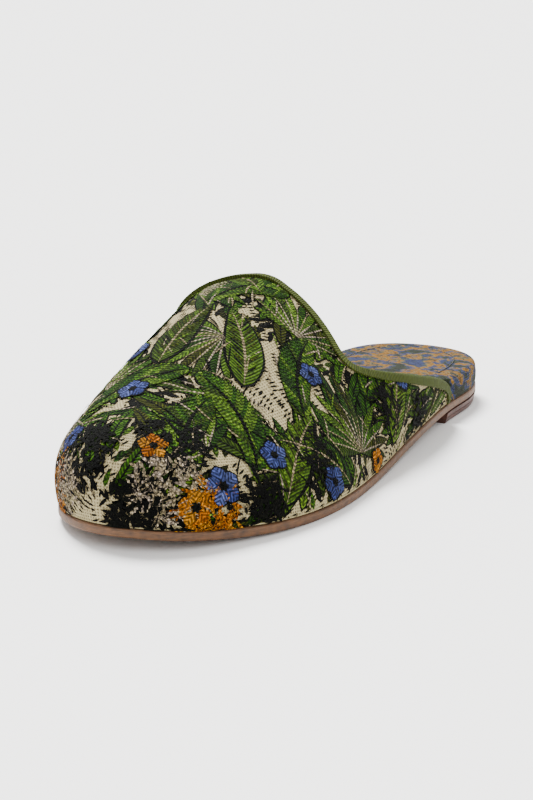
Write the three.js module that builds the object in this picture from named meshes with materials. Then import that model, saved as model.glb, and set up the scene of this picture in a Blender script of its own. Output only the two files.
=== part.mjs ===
// A flat women's mule for the left foot: a high-tongued fabric upper that stops short of the heel, a green
// binding rolled over its edge, a padded fabric-covered footbed, a leather outsole and a low leather heel.
// Millimetres. +Z is up, the toe points along -Y, and the outer (lateral) side of the foot is +X.
import * as THREE from "three";

// Driving dimensions
const soleLength = 251;
const soleThick = 3.2;
const heelHeight = 4.4;
const heelLength = 59;
const toeSpring = 4.6;
const wallThick = 2.0;
const fit = 0.3;
const footbedHeelThick = 8.8;
const footbedBallThick = 4.6;

// Where the sole leaves the floor: forward of toeBreak it curves up, behind waistBreak it climbs to the heel.
const toeBreak = 190;
const waistBreak = 160;

// Offsets that put the middle of the shoe's bounding box on the origin.
const centreAcross = -0.3;
const centreAlong = -0.16;

// Small helpers shared by every piece
const clamp = THREE.MathUtils.clamp;
const lerp = THREE.MathUtils.lerp;
const ease = (t) => THREE.MathUtils.smoothstep(t, 0, 1);

const minus = (a, b) => [a[0] - b[0], a[1] - b[1], a[2] - b[2]];
const plus = (a, b, scale = 1) => [a[0] + b[0] * scale, a[1] + b[1] * scale, a[2] + b[2] * scale];
const cross = (a, b) => [a[1] * b[2] - a[2] * b[1], a[2] * b[0] - a[0] * b[2], a[0] * b[1] - a[1] * b[0]];
const unit = (a) => {
  const size = Math.hypot(...a);
  return a.map((v) => v / size);
};

// Smooth value of a table's column: cubic pieces through the rows, with the slope of their neighbours.
// place() gives the coordinate that the rows are spread over.
function fromTable(rows, column, key, place = (row) => row.at) {
  const last = rows.length - 1;
  const rising = place(rows[last]) > place(rows[0]);
  let i = 0;
  while (i < last - 1 && (rising ? key > place(rows[i + 1]) : key < place(rows[i + 1]))) i++;
  const slope = (k) => {
    const a = rows[Math.max(k - 1, 0)];
    const b = rows[Math.min(k + 1, last)];
    return (b[column] - a[column]) / (place(b) - place(a));
  };
  const span = place(rows[i + 1]) - place(rows[i]);
  const t = clamp((key - place(rows[i])) / span, 0, 1);
  const [t2, t3] = [t * t, t * t * t];
  return (
    (2 * t3 - 3 * t2 + 1) * rows[i][column] +
    (t3 - 2 * t2 + t) * span * slope(i) +
    (3 * t2 - 2 * t3) * rows[i + 1][column] +
    (t3 - t2) * span * slope(i + 1)
  );
}

// The sole's outline
// Reach of the sole's edge to each side of the shoe's axis, at a distance from the back of the heel.
const outlineRows = [
  { at: 0, lateral: 0, medial: 0 },
  { at: 4, lateral: 16, medial: 16 },
  { at: 14, lateral: 26, medial: 25.5 },
  { at: 30, lateral: 31, medial: 29.5 },
  { at: 55, lateral: 32.3, medial: 29.8 },
  { at: 85, lateral: 35.2, medial: 28 },
  { at: 115, lateral: 38.2, medial: 28 },
  { at: 145, lateral: 41.6, medial: 33 },
  { at: 170, lateral: 43.5, medial: 40.5 },
  { at: 190, lateral: 42.3, medial: 43.8 },
  { at: 210, lateral: 37, medial: 43 },
  { at: 228, lateral: 28, medial: 37.5 },
  { at: 241, lateral: 18, medial: 27.4 },
  { at: 249, lateral: 4.5, medial: 15.6 },
  { at: 251, lateral: -6, medial: 6 },
];

// The outline is spread over an angle, 0 at the heel's back and pi at the toe's tip: both ends come out round.
const turnAt = (at) => Math.acos(1 - (2 * clamp(at, 0, soleLength)) / soleLength);
const atTurn = (turn) => (soleLength * (1 - Math.cos(turn))) / 2;

// side is +1 for lateral and -1 for medial; the result is [across, along from the heel].
function edge(side, turn) {
  const column = side > 0 ? "lateral" : "medial";
  return [side * fromTable(outlineRows, column, turn, (row) => turnAt(row.at)), atTurn(turn)];
}

// Directions out of a surface come from the difference of two points this far apart, as an angle or a rib.
const normalStep = 0.004;

// Unit vector out of the outline, in the plane of the floor.
function edgeNormal(side, turn) {
  const a = edge(side, Math.max(turn - normalStep, 0));
  const b = edge(side, Math.min(turn + normalStep, Math.PI));
  const [dx, dy] = [b[0] - a[0], b[1] - a[1]];
  const size = Math.hypot(dx, dy);
  return [(side * dy) / size, (-side * dx) / size];
}

// A point of the outline moved inwards by inset.
function insetEdge(side, turn, inset) {
  const [x, at] = edge(side, turn);
  const [nx, ny] = edgeNormal(side, turn);
  return [x - nx * inset, at - ny * inset];
}

// Height of the outsole's underside at a distance from the heel.
function soleUnder(at) {
  const toe = clamp((at - toeBreak) / (soleLength - toeBreak), 0, 1);
  const waist = ease((waistBreak - at) / (waistBreak - heelLength));
  return toeSpring * toe * toe + heelHeight * waist;
}
const soleTop = (at) => soleUnder(at) + soleThick;

// From shoe measures to the part's frame.
const place = (across, at, up) => [across - centreAcross, soleLength / 2 - at - centreAlong, up];

// Mesh building
// A closed mesh from a grid of points whose rings each close on themselves, with a fan cap at both ends.
function ringSolid(rings) {
  const count = rings[0].length;
  const points = rings.flat();
  const faces = [];
  for (let r = 0; r + 1 < rings.length; r++) {
    for (let k = 0; k < count; k++) {
      const [a, b] = [r * count + k, r * count + ((k + 1) % count)];
      faces.push([a, b, b + count], [a, b + count, a + count]);
    }
  }
  for (const [base, flip] of [[0, true], [(rings.length - 1) * count, false]]) {
    for (let k = 1; k + 1 < count; k++) {
      const face = [base, base + k, base + k + 1];
      faces.push(flip ? face.reverse() : face);
    }
  }
  return toGeometry(points, faces);
}

// Turns points and faces into a geometry whose faces point out.
function toGeometry(points, faces) {
  let volume = 0;
  for (const [a, b, c] of faces) {
    const normal = cross(points[b], points[c]);
    volume += points[a].reduce((sum, v, axis) => sum + v * normal[axis], 0);
  }
  const ordered = volume < 0 ? faces.map(([a, b, c]) => [a, c, b]) : faces;
  const geometry = new THREE.BufferGeometry();
  geometry.setAttribute("position", new THREE.Float32BufferAttribute(points.flat(), 3));
  geometry.setIndex(ordered.flat());
  geometry.computeVertexNormals();
  return geometry;
}

// A plate between two closed outlines of the same stations: every station is one cross-section ring.
// section(turn) gives its points as [across, at, up], from the lateral side over the top to the medial.
function plate(turns, section) {
  return ringSolid(turns.map((turn) => section(turn).map((p) => place(...p))));
}

// Evenly spread values from a to b.
const spread = (a, b, steps) => Array.from({ length: steps + 1 }, (_, i) => lerp(a, b, i / steps));

// The first and last station of a plate stand this angle away from the ends of the outline.
const endTurn = 0.012;

// Outsole: one flat leather sole with a small bevel on its two edges
const soleBevel = 0.5;
const soleSteps = 56;
function outsole() {
  return plate(spread(endTurn, Math.PI - endTurn, soleSteps), (turn) => {
    const at = atTurn(turn);
    const [low, high] = [soleUnder(at), soleTop(at)];
    const ring = (side) => {
      const full = insetEdge(side, turn, 0);
      const inner = insetEdge(side, turn, soleBevel);
      return [
        [...inner, low],
        [...full, low + soleBevel],
        [...full, high - soleBevel],
        [...inner, high],
      ];
    };
    return [...ring(1), ...ring(-1).reverse()];
  });
}

// Heel: a low block under the outsole, its front face straight across
const heelTaper = 0.8;
const heelSteps = 20;
function heel() {
  return plate(spread(endTurn, turnAt(heelLength), heelSteps), (turn) => {
    const ring = (side) => [
      [...insetEdge(side, turn, heelTaper), 0],
      [...insetEdge(side, turn, 0), heelHeight - fit],
    ];
    return [...ring(1), ...ring(-1).reverse()];
  });
}

// The last's surface
// One row per section of the last, and its ridge is the line along the top of the foot.
const ridgeRows = [
  { at: 60, across: -4.5, up: 92 },
  { at: 95, across: -7, up: 79 },
  { at: 124, across: -11, up: 67 },
  { at: 145, across: -12, up: 65.5 },
  { at: 170, across: -11, up: 58.5 },
  { at: 195, across: -9.5, up: 48.5 },
  { at: 220, across: -8, up: 40 },
  { at: 251, across: -6, up: 35 },
];

// rise is how far a wall climbs before it turns in, lean how far it bulges out on the way, and span how far
// the top runs out level from the ridge before it falls.
const lateralRows = [
  { at: 60, rise: 25, lean: 9, span: 17 },
  { at: 95, rise: 28, lean: 11, span: 16 },
  { at: 124, rise: 26, lean: 10, span: 9 },
  { at: 145, rise: 22, lean: 5.5, span: 11 },
  { at: 170, rise: 19, lean: 4, span: 15 },
  { at: 195, rise: 17, lean: 3.5, span: 16.5 },
  { at: 220, rise: 16, lean: 3.5, span: 15 },
  { at: 251, rise: 17, lean: 4.5, span: 14 },
];
const medialRows = [
  { at: 60, rise: 26, lean: 6, span: 15 },
  { at: 95, rise: 34, lean: 14.5, span: 22 },
  { at: 124, rise: 38, lean: 18.5, span: 28 },
  { at: 145, rise: 40, lean: 14, span: 30 },
  { at: 170, rise: 35, lean: 7, span: 28 },
  { at: 195, rise: 31, lean: 4.5, span: 26.5 },
  { at: 220, rise: 25, lean: 5, span: 21.5 },
  { at: 251, rise: 17, lean: 4.5, span: 14 },
];

// In front of fanStart the sections fan round the toe, and meet the ridge between there and ridgeEnd.
const fanStart = 205;
const ridgeEnd = 231;
const fanEndPace = 0.5;
function ridgeAt(at) {
  if (at <= fanStart) return at;
  const reach = soleLength - fanStart;
  const u = (at - fanStart) / reach;
  const startPace = reach / (ridgeEnd - fanStart);
  const [u2, u3] = [u * u, u * u * u];
  const share = (u3 - 2 * u2 + u) * startPace + (3 * u2 - 2 * u3) + (u3 - u2) * fanEndPace;
  return fanStart + (ridgeEnd - fanStart) * share;
}

// Rise of the ridge for each millimetre towards the toe.
const ridgeUp = (at) => fromTable(ridgeRows, "up", at);
const ridgeSlope = (at) => (ridgeUp(at + 1) - ridgeUp(at - 1)) / 2;

const featherInset = 0.8;

// A point of the last: turn picks the section, and rib runs from 0 at the sole to 1 on the ridge.
function lastPoint(side, turn, rib) {
  const at = atTurn(turn);
  const foot = insetEdge(side, turn, featherInset);
  const [nx, ny] = edgeNormal(side, turn);
  const top = ridgeAt(at);
  const ridge = [fromTable(ridgeRows, "across", top), top, ridgeUp(top)];
  const slope = ridgeSlope(top);
  const rows = side > 0 ? lateralRows : medialRows;
  const [rise, lean, span] = ["rise", "lean", "span"].map((column) => fromTable(rows, column, at));
  const away = [foot[0] - ridge[0], foot[1] - ridge[1]];
  const size = Math.hypot(...away);
  const [ax, ay] = [away[0] / size, away[1] / size];
  const base = soleTop(foot[1]) + fit;
  const control = [
    [foot[0], foot[1], base],
    [foot[0] + nx * lean, foot[1] + ny * lean, base + rise],
    [ridge[0] + ax * span, ridge[1] + ay * span, ridge[2] + slope * ay * span],
    ridge,
  ];
  const w = [(1 - rib) ** 3, 3 * rib * (1 - rib) ** 2, 3 * rib * rib * (1 - rib), rib ** 3];
  return [0, 1, 2].map((axis) => control.reduce((sum, p, i) => sum + w[i] * p[axis], 0));
}

// The upper's edge, seen from the side of the shoe
// It runs from the tongue's tip on the ridge, past the neck, where it is furthest forward, to the sole.
const toplineRows = {
  lateral: [
    { at: 129, up: 67 },
    { at: 128.5, up: 64.5 },
    { at: 128.8, up: 60 },
    { at: 130, up: 55.5 },
    { at: 132, up: 50.5 },
    { at: 134.8, up: 45 },
    { at: 136.5, up: 40 },
    { at: 132, up: 36.4 },
    { at: 121.5, up: 33 },
    { at: 106, up: 29 },
    { at: 84, up: 23 },
    { at: 67, up: 17.5 },
    { at: 60, up: 13 },
    { at: 58.6, up: 9 },
  ],
  medial: [
    { at: 129, up: 67 },
    { at: 130.2, up: 66.2 },
    { at: 133.8, up: 64.8 },
    { at: 138.5, up: 62.3 },
    { at: 143, up: 59 },
    { at: 145.5, up: 55 },
    { at: 145, up: 51 },
    { at: 141, up: 47.5 },
    { at: 133, up: 44 },
    { at: 121, up: 39.5 },
    { at: 103, up: 34 },
    { at: 84, up: 27 },
    { at: 67, up: 20.3 },
    { at: 60, up: 15 },
    { at: 58.6, up: 9 },
  ],
};

// Where the last, at this section, reaches the height up: the rib value there, found by halving.
const halvings = 30;
function ribAtHeight(side, at, up) {
  const turn = turnAt(at);
  let [low, high] = [0, 1];
  for (let i = 0; i < halvings; i++) {
    const middle = (low + high) / 2;
    if (lastPoint(side, turn, middle)[2] < up) low = middle;
    else high = middle;
  }
  return (low + high) / 2;
}

// The upper's edge as section and rib values, evenly spaced along it from the tongue's tip to the sole.
const samplesPerRow = 20;
function topline(side, steps) {
  const rows = toplineRows[side > 0 ? "lateral" : "medial"].map((row, i) => ({ ...row, order: i }));
  const fine = samplesPerRow * (rows.length - 1);
  const samples = spread(0, rows.length - 1, fine).map((order, i) => {
    const at = fromTable(rows, "at", order, (row) => row.order);
    const rib = i ? ribAtHeight(side, at, fromTable(rows, "up", order, (row) => row.order)) : 1;
    return { at, rib, point: lastPoint(side, turnAt(at), rib), run: 0 };
  });
  for (let i = 1; i < samples.length; i++) {
    const [a, b] = [samples[i - 1].point, samples[i].point];
    samples[i].run = samples[i - 1].run + Math.hypot(b[0] - a[0], b[1] - a[1], b[2] - a[2]);
  }
  const total = samples.at(-1).run;
  return spread(0, total, steps).map((run) => {
    const k = clamp(samples.findIndex((s) => s.run >= run), 1, fine);
    const [a, b] = [samples[k - 1], samples[k]];
    const t = clamp((run - a.run) / (b.run - a.run), 0, 1);
    return { at: lerp(a.at, b.at, t), rib: lerp(a.rib, b.rib, t) };
  });
}

// The upper's wall
// Strips run from the sole up to the ridge in front of the tongue, and further back up to the open edge. They
// start at tongueFoot for the tongue's tip and at neckFoot for the neck, where the edge is furthest forward.
const tongueFoot = 166;
const neckFoot = 146;
const strayStart = 226;
const neckEasing = 3;
const tongueTurnIn = 0.7;
const vampStrips = 26;
const collarStrips = 36;
const wallRows = 10;

// Direction out of the last at one of its points.
function lastNormal(side, turn, rib) {
  const forward = lastPoint(side, Math.min(turn + normalStep, Math.PI), rib);
  const back = lastPoint(side, turn - normalStep, rib);
  const above = lastPoint(side, turn, Math.min(rib + normalStep, 1));
  const below = lastPoint(side, turn, Math.max(rib - normalStep, 0));
  return unit(cross(minus(forward, back), minus(above, below))).map((v) => side * v);
}

// A point of the wall's outer face with the one opposite it on the inner face. On the ridge both sides are
// level across the shoe, so the normal there comes from the ridge's slope.
function wallPoint(side, at, rib) {
  const turn = turnAt(at);
  const out = lastPoint(side, turn, rib);
  const normal = rib === 1 ? unit([0, -ridgeSlope(ridgeAt(at)), 1]) : lastNormal(side, turn, rib);
  const inside = plus(out, normal, -wallThick);
  if (rib === 0) inside[2] = soleTop(inside[1]) + fit;
  return { out, inside };
}

// One strip of the wall as wallRows + 1 points, from the sole up to its target on the ridge or edge.
// turnIn makes it climb early and then run back along the shoe, to meet an edge that runs across it.
function strip(side, footAt, target, turnIn) {
  return spread(0, 1, wallRows).map((q) => {
    const at = lerp(footAt, target.at, q * q);
    return wallPoint(side, at, target.rib * (q + turnIn * q * (1 - q)));
  });
}

// All strips of one side, from the toe's tip to the back end.
function sideStrips(side) {
  const backOff = tongueFoot - toplineRows.lateral[0].at;
  const vamp = spread(Math.PI, turnAt(tongueFoot), vampStrips).map((turn) => {
    const footAt = atTurn(turn);
    const stray = clamp((strayStart - footAt) / (strayStart - tongueFoot), 0, 1);
    return strip(side, footAt, { at: footAt - backOff * stray * stray, rib: 1 }, tongueTurnIn * stray);
  });
  const targets = topline(side, collarStrips);
  const neck = targets.indexOf(targets.reduce((a, b) => (b.at > a.at ? b : a)));
  const collar = targets.map((target, i) => {
    const onTongue = i < neck;
    const share = onTongue ? i / neck : (i - neck) / (collarStrips - neck);
    const footAt = onTongue ? lerp(tongueFoot, neckFoot, share) : lerp(neckFoot, targets.at(-1).at, share);
    const turnIn = tongueTurnIn * clamp((neck + neckEasing - i) / (2 * neckEasing), 0, 1);
    return strip(side, footAt, target, turnIn);
  });
  return [...vamp, ...collar.slice(1)];
}

// The whole wall, strip by strip from the lateral back end round the toe to the medial back end.
function wallStrips() {
  const [lateral, medial] = [sideStrips(1), sideStrips(-1)];
  return [...lateral.reverse(), ...medial.slice(1)];
}

// Strip i and its twin across the ridge share their top point, unless they end on the open edge.
const lastStrip = 2 * (vampStrips + collarStrips);
const wallTwin = (i) => (i >= collarStrips && i <= lastStrip - collarStrips ? lastStrip - i : null);

// A closed wall between two grids of the same size, without a rim where strips share their top with a twin.
function shell(outer, inner, twin = () => null) {
  const [columns, rows] = [outer.length, outer[0].length];
  const [top, end] = [rows - 1, columns - 1];
  const points = [...outer.flat(), ...inner.flat()];
  const id = (i, j, layer) => {
    const shared = j === top && twin(i) !== null;
    return layer * columns * rows + (shared ? Math.min(i, twin(i)) : i) * rows + j;
  };
  const faces = [];
  const quad = (a, b, c, d) => {
    for (const face of [[a, b, c], [a, c, d]]) {
      if (new Set(face).size === 3) faces.push(face);
    }
  };
  for (let i = 0; i < end; i++) {
    for (let j = 0; j < top; j++) {
      quad(id(i, j, 0), id(i + 1, j, 0), id(i + 1, j + 1, 0), id(i, j + 1, 0));
      quad(id(i, j, 1), id(i, j + 1, 1), id(i + 1, j + 1, 1), id(i + 1, j, 1));
    }
    quad(id(i, 0, 0), id(i, 0, 1), id(i + 1, 0, 1), id(i + 1, 0, 0));
    const closed = twin(i) !== null && twin(i + 1) !== null;
    if (!closed) quad(id(i, top, 0), id(i + 1, top, 0), id(i + 1, top, 1), id(i, top, 1));
  }
  for (let j = 0; j < top; j++) {
    quad(id(0, j, 0), id(0, j + 1, 0), id(0, j + 1, 1), id(0, j, 1));
    quad(id(end, j, 0), id(end, j, 1), id(end, j + 1, 1), id(end, j + 1, 0));
  }
  return toGeometry(...withoutUnused(points.map((p) => place(...p)), faces));
}

// Drops the points that no face uses, such as the second of two twins.
function withoutUnused(points, faces) {
  const used = [...new Set(faces.flat())].sort((a, b) => a - b);
  const fresh = new Map(used.map((old, i) => [old, i]));
  return [used.map((old) => points[old]), faces.map((face) => face.map((old) => fresh.get(old)))];
}

function upper(strips) {
  const [outer, inner] = ["out", "inside"].map((face) => strips.map((strip) => strip.map((p) => p[face])));
  return shell(outer, inner, wallTwin);
}

// Binding: a strip folded over the upper's edge, from one back end over the tongue to the other
const bindingGap = 0.55;
const bindingReach = 2.2;
const bindingRoll = 1.8;
const bindingLeg = 2.3;
const bindingSides = 8;
function binding(strips) {
  const rim = strips.map((strip) => strip[wallRows]);
  const stations = [...rim.slice(0, collarStrips + 1), ...rim.slice(-collarStrips)];
  const end = stations.length - 1;
  // Half round over the edge, with a straight leg down each face of the wall.
  const fold = (reach, roll) =>
    stations.map((station, k) => {
      const middle = plus(station.out, minus(station.inside, station.out), 0.5);
      const across = unit(minus(station.out, station.inside));
      const along = unit(minus(stations[Math.min(k + 1, end)].out, stations[Math.max(k - 1, 0)].out));
      const away = unit(cross(across, along));
      return spread(0, Math.PI, bindingSides).map((turn, i) => {
        const isLegEnd = i === 0 || i === bindingSides;
        const up = isLegEnd ? -bindingLeg : Math.sin(turn) * roll;
        return plus(plus(middle, across, Math.cos(turn) * reach), away, up);
      });
    });
  return shell(fold(bindingReach, bindingRoll), fold(wallThick / 2 + bindingGap, bindingGap));
}

// Footbed: a padded board covered in cloth, flush with the sole round the heel and inside the wall further on
const footbedHeelInset = 0.3;
const footbedWallGap = 0.8;
const footbedEdgeRadius = 2.4;
const footbedCrown = 0.9;
const footbedStepStart = 52;
const footbedStepEnd = 56.5;
const bindingClearEnd = 68;
const footbedHeelSteps = 18;
const footbedStepSteps = 3;
const footbedFrontSteps = 42;
const roundingSteps = 3;

const footbedThick = (at) =>
  lerp(footbedHeelThick, footbedBallThick, ease((at - heelLength) / (waistBreak - heelLength)));

// The footbed's edge at a height: round the heel the sole's own outline, further on the inside of the wall.
function footbedEdge(side, turn, up) {
  const at = atTurn(turn);
  const heelEdge = insetEdge(side, turn, footbedHeelInset);
  const share = ease((at - footbedStepStart) / (footbedStepEnd - footbedStepStart));
  if (share === 0) return heelEdge;
  const wall = lastPoint(side, turn, ribAtHeight(side, at, up));
  const [nx, ny] = edgeNormal(side, turn);
  const besideBinding = at < bindingClearEnd ? bindingReach - wallThick / 2 + fit : 0;
  const inset = wallThick + footbedWallGap + besideBinding;
  return heelEdge.map((v, axis) => lerp(v, wall[axis] - (axis ? ny : nx) * inset, share));
}

function footbed() {
  const [stepStart, stepEnd] = [turnAt(footbedStepStart), turnAt(footbedStepEnd)];
  const turns = [
    ...spread(endTurn, stepStart, footbedHeelSteps),
    ...spread(stepStart, stepEnd, footbedStepSteps).slice(1),
    ...spread(stepEnd, Math.PI - endTurn, footbedFrontSteps).slice(1),
  ];
  return plate(turns, (turn) => {
    const at = atTurn(turn);
    const low = soleTop(at) + fit;
    const high = low + footbedThick(at);
    const shoulder = high - footbedEdgeRadius;
    const ring = (side) => {
      const rounding = spread(0, Math.PI / 2, roundingSteps).map((bend) => {
        const [x, y] = footbedEdge(side, turn, shoulder);
        const [nx, ny] = edgeNormal(side, turn);
        const back = footbedEdgeRadius * (1 - Math.cos(bend));
        return [x - nx * back, y - ny * back, shoulder + footbedEdgeRadius * Math.sin(bend)];
      });
      return [[...footbedEdge(side, turn, low), low], ...rounding];
    };
    const [lateral, medial] = [ring(1), ring(-1)];
    const middle = [0, 1].map((axis) => (lateral.at(-1)[axis] + medial.at(-1)[axis]) / 2);
    const crown = footbedCrown * Math.sin(turn);
    return [...lateral, [...middle, high + crown], ...medial.reverse()];
  });
}

// Assembly: every piece with its own material
function piece(name, geometry, color, roughness) {
  const mesh = new THREE.Mesh(geometry, new THREE.MeshStandardMaterial({ color, roughness, metalness: 0 }));
  mesh.name = name;
  return mesh;
}

const wall = wallStrips();
const mule = new THREE.Group();
mule.add(piece("outsole", outsole(), "#a5714f", 0.55));
mule.add(piece("heel", heel(), "#6e3a2c", 0.5));
mule.add(piece("footbed", footbed(), "#c08f6d", 0.9));
mule.add(piece("upper", upper(wall), "#9aa183", 0.9));
mule.add(piece("binding", binding(wall), "#6d7440", 0.85));

export default mule;
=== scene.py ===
import math

import bmesh
import bpy
import numpy as np
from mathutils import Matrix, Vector
from mathutils.bvhtree import BVHTree
from mathutils.kdtree import KDTree


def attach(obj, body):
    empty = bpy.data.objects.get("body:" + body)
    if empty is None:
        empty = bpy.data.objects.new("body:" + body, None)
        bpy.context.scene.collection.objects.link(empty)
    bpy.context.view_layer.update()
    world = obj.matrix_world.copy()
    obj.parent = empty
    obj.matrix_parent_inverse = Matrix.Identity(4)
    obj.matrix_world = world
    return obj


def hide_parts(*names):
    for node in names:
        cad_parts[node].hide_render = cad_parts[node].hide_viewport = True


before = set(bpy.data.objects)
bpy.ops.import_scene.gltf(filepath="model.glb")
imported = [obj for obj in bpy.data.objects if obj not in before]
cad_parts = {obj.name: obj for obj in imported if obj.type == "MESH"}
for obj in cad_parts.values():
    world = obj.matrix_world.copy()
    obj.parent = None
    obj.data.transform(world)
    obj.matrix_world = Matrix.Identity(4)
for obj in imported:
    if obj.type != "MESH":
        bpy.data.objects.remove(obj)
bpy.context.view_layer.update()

# Measures of the shoe
# Millimetres, as in the solids: across is positive on the outer (lateral) side, at runs from the back of the
# heel towards the toe, and up is the height over the floor.
sole_length = 251
sole_thick = 3.2
heel_height = 4.4
heel_length = 59
toe_spring = 4.6
wall_thick = 2.0
fit = 0.3
footbed_heel_thick = 8.8
footbed_ball_thick = 4.6
toe_break = 190
waist_break = 160
centre_across = -0.3
centre_along = -0.16
metre = 0.001
# How far to either side of a point its slope is measured, in radians of turn and in shares of a rib
probe = 0.004


def ease(share):
    """0 to 1, with a level start and end."""
    share = np.clip(share, 0, 1)
    return share * share * (3 - 2 * share)


def mix(a, b, share):
    return a + (b - a) * share


def from_table(keys, values, place):
    """Cubic pieces through the rows of a table, each with the slope of its neighbours."""
    keys = np.asarray(keys, float)
    values = np.asarray(values, float)
    last_row = len(keys) - 1
    row = np.clip(np.searchsorted(keys, place) - 1, 0, last_row - 1)
    before = np.maximum(np.arange(last_row + 1) - 1, 0)
    after = np.minimum(np.arange(last_row + 1) + 1, last_row)
    slope = (values[after] - values[before]) / (keys[after] - keys[before])
    span = keys[row + 1] - keys[row]
    t = np.clip((place - keys[row]) / span, 0, 1)
    start = (2 * t**3 - 3 * t**2 + 1) * values[row] + (t**3 - 2 * t**2 + t) * span * slope[row]
    return start + (3 * t**2 - 2 * t**3) * values[row + 1] + (t**3 - t**2) * span * slope[row + 1]


# The sole's outline
# Its reach to each side is spread over an angle, 0 at the back of the heel and pi at the tip of the toe.
outline = {
    "at": [0, 4, 14, 30, 55, 85, 115, 145, 170, 190, 210, 228, 241, 249, 251],
    "lateral": [0, 16, 26, 31, 32.3, 35.2, 38.2, 41.6, 43.5, 42.3, 37, 28, 18, 4.5, -6],
    "medial": [0, 16, 25.5, 29.5, 29.8, 28, 28, 33, 40.5, 43.8, 43, 37.5, 27.4, 15.6, 6],
}


def turn_at(at):
    return np.arccos(1 - 2 * np.clip(at, 0, sole_length) / sole_length)


def at_turn(turn):
    return sole_length * (1 - np.cos(turn)) / 2


def edge(side, turn):
    """The sole's edge on one side: across and at."""
    column = outline["lateral" if side > 0 else "medial"]
    return side * from_table(turn_at(np.array(outline["at"])), column, turn), at_turn(turn)


def edge_normal(side, turn):
    """The level direction out of the sole's edge."""
    ahead = edge(side, np.minimum(turn + probe, math.pi))
    behind = edge(side, np.maximum(turn - probe, 0))
    dx, dy = ahead[0] - behind[0], ahead[1] - behind[1]
    size = np.hypot(dx, dy)
    return side * dy / size, -side * dx / size


def inset_edge(side, turn, inset):
    across, at = edge(side, turn)
    nx, ny = edge_normal(side, turn)
    return across - nx * inset, at - ny * inset


def sole_under(at):
    toe = np.clip((at - toe_break) / (sole_length - toe_break), 0, 1)
    return toe_spring * toe * toe + heel_height * ease((waist_break - at) / (waist_break - heel_length))


def sole_top(at):
    return sole_under(at) + sole_thick


def place(points):
    """Shoe measures to the frame's own millimetres: toe along -Y, middle of the shoe on the origin."""
    across, at, up = np.moveaxis(np.asarray(points, float), -1, 0)
    return np.stack([across - centre_across, sole_length / 2 - at - centre_along, up], -1)


# Meshes and materials
# Every piece is one mesh that rides on the shoe's only body. A layer of coordinates runs along and across
# the threads of cloth, in units of 100 mm.
thread_unit = 100


def make_piece(name, points, faces, material, thread=None, tints=None):
    """A mesh from points in the frame's millimetres, with thread coordinates and colours where given."""
    mesh = bpy.data.meshes.new(name)
    mesh.from_pydata((np.asarray(points, float) * metre).tolist(), [], [list(face) for face in faces])
    if thread is not None:
        layer = mesh.uv_layers.new(name="thread")
        corners = np.empty(len(mesh.loops), int)
        mesh.loops.foreach_get("vertex_index", corners)
        layer.data.foreach_set("uv", (np.asarray(thread, float)[corners] / thread_unit).ravel())
    if tints is not None:
        colours = mesh.color_attributes.new("tint", "FLOAT_COLOR", "POINT")
        colours.data.foreach_set("color", np.asarray(tints, float).ravel())
    mesh.materials.append(material)
    mesh.shade_smooth()
    piece = bpy.data.objects.new(name, mesh)
    bpy.context.collection.objects.link(piece)
    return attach(piece, "root") or piece


def grid_faces(rows, columns, closed=False, first=0):
    """Faces of a grid of points laid out row by row. A closed grid joins its last column to its first."""
    width = columns if closed else columns - 1
    corner = np.arange(rows - 1)[:, None] * columns + np.arange(width)[None, :]
    beside = np.arange(rows - 1)[:, None] * columns + (np.arange(width)[None, :] + 1) % columns
    quads = np.stack([corner, beside, beside + columns, corner + columns], -1).reshape(-1, 4)
    return (quads + first).tolist()


def ring_solid(rings, flat_start=True, flat_end=True):
    """Points and faces of a solid through rings. At an end that isn't flat, the ring folds shut on itself."""
    rows, columns = rings.shape[:2]
    faces = grid_faces(rows, columns, closed=True)
    for is_flat, ring, first in ((flat_start, 0, 0), (flat_end, -1, (rows - 1) * columns)):
        if is_flat:
            faces.append(list(range(first, first + columns)))
        else:
            rings[ring] = (rings[ring] + rings[ring][::-1]) / 2
    return rings.reshape(-1, 3), faces


def close_solid(piece, crisp=60):
    """Joins points that coincide, turns the faces out, and shows edges above an angle as crisp ones."""
    shape = bmesh.new()
    shape.from_mesh(piece.data)
    bmesh.ops.remove_doubles(shape, verts=shape.verts, dist=0.002 * metre)
    bmesh.ops.recalc_face_normals(shape, faces=shape.faces)
    shape.to_mesh(piece.data)
    shape.free()
    piece.data.set_sharp_from_angle(angle=math.radians(crisp))


def linear(colour):
    """An sRGB hex colour as linear RGBA."""
    channels = [int(colour[i : i + 2], 16) / 255 for i in (1, 3, 5)]
    return [c / 12.92 if c <= 0.04045 else ((c + 0.055) / 1.055) ** 2.4 for c in channels] + [1.0]


def add_node(tree, kind, inputs=(), output=0, stops=(), **settings):
    """Adds a shader node and returns one of its outputs. An input takes a value or another node's output, and
    a colour ramp takes stops of (place, hex colour)."""
    node = tree.nodes.new("ShaderNode" + kind)
    for name, value in settings.items():
        setattr(node, name, value)
    for name, value in inputs.items() if isinstance(inputs, dict) else enumerate(inputs):
        if isinstance(value, bpy.types.NodeSocket):
            tree.links.new(value, node.inputs[name])
        else:
            node.inputs[name].default_value = value
    for k, (position, colour) in enumerate(stops):
        elements = node.color_ramp.elements
        element = elements[k] if k < len(elements) else elements.new(position)
        element.position = position
        element.color = linear(colour)
    return node.outputs[output]


def new_material(name, roughness, colour="#808080", specular=0.5):
    """A material and its node tree."""
    material = bpy.data.materials.new(name)
    material.use_nodes = True
    shader = material.node_tree.nodes["Principled BSDF"].inputs
    shader["Roughness"].default_value = roughness
    shader["Base Color"].default_value = linear(colour)
    shader["Specular IOR Level"].default_value = specular
    return material, material.node_tree


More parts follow.
